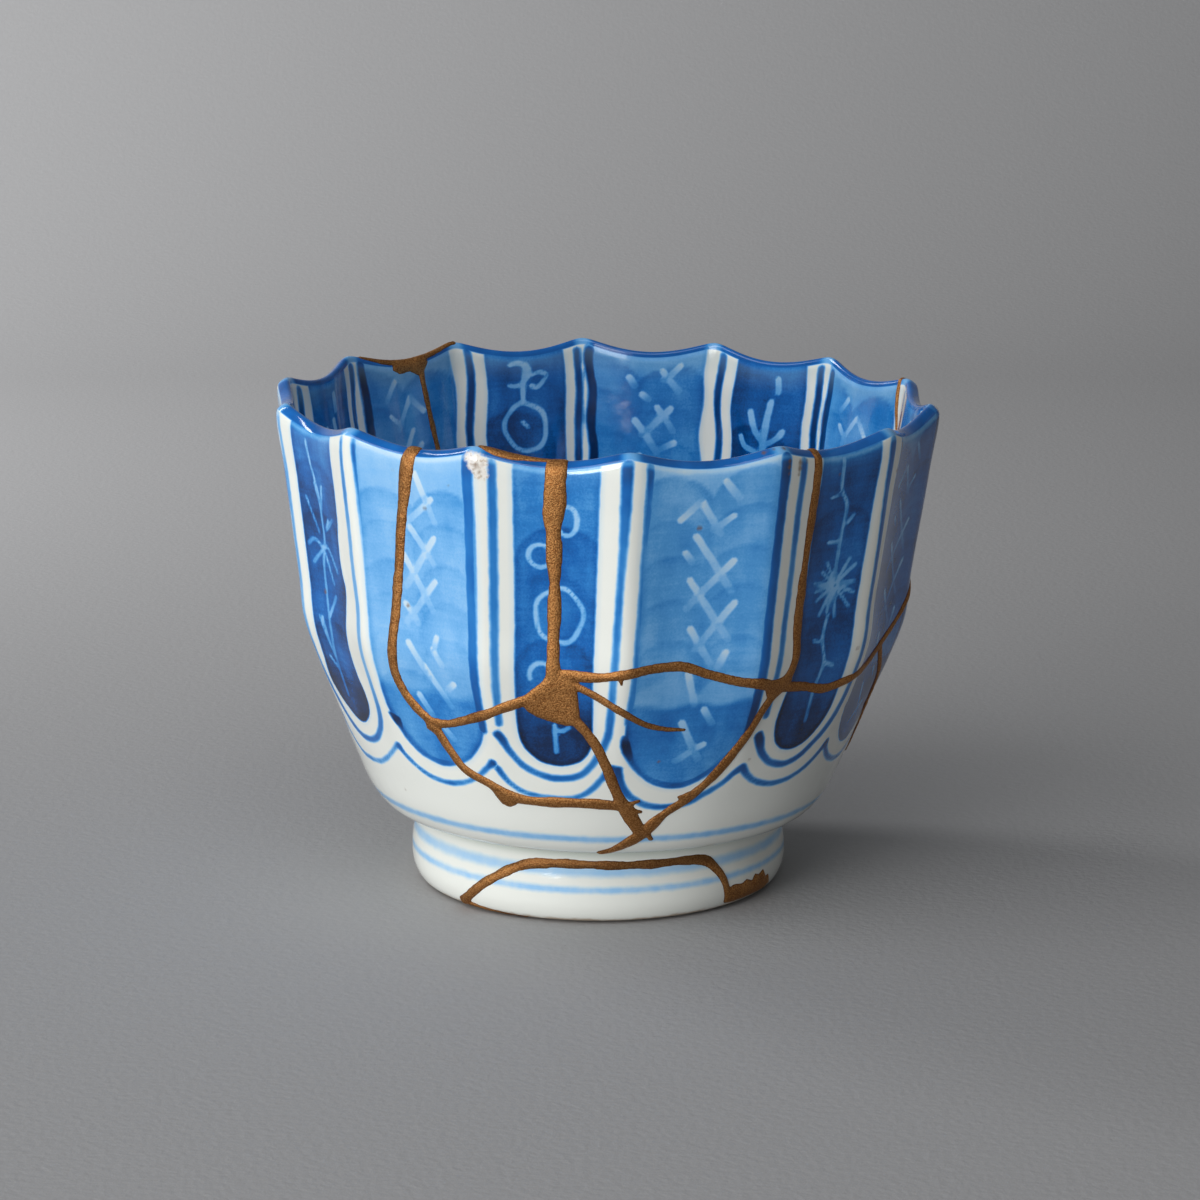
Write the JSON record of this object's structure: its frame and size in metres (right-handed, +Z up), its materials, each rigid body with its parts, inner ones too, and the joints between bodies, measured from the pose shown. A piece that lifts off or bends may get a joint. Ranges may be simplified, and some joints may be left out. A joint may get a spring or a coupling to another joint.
{
  "type": "kintsugi sake cup",
  "caption": "Small fluted porcelain sake cup with a scalloped rim and foot ring, painted in blue and mended with gold lacquer seams.",
  "frame": {"origin": "on the table, under the middle of the rim's bounding box", "axes": "+Z up out of the cup's mouth, -Y towards the front with the large filled patch, +X to the right"},
  "size_m": [0.0742, 0.0748, 0.0564],
  "materials": {
    "porcelain": "white glazed porcelain, painted in cobalt blue under a clear glaze",
    "gold_lacquer": "lacquer dusted with gold powder, satin, slightly raised and darkened to bronze"
  },
  "bodies": {
    "root": {"porcelain_cup": "porcelain", "gold_seam_front": "gold_lacquer", "gold_seam_back": "gold_lacquer", "gold_seam_foot": "gold_lacquer"}
  },
  "joints": []
}
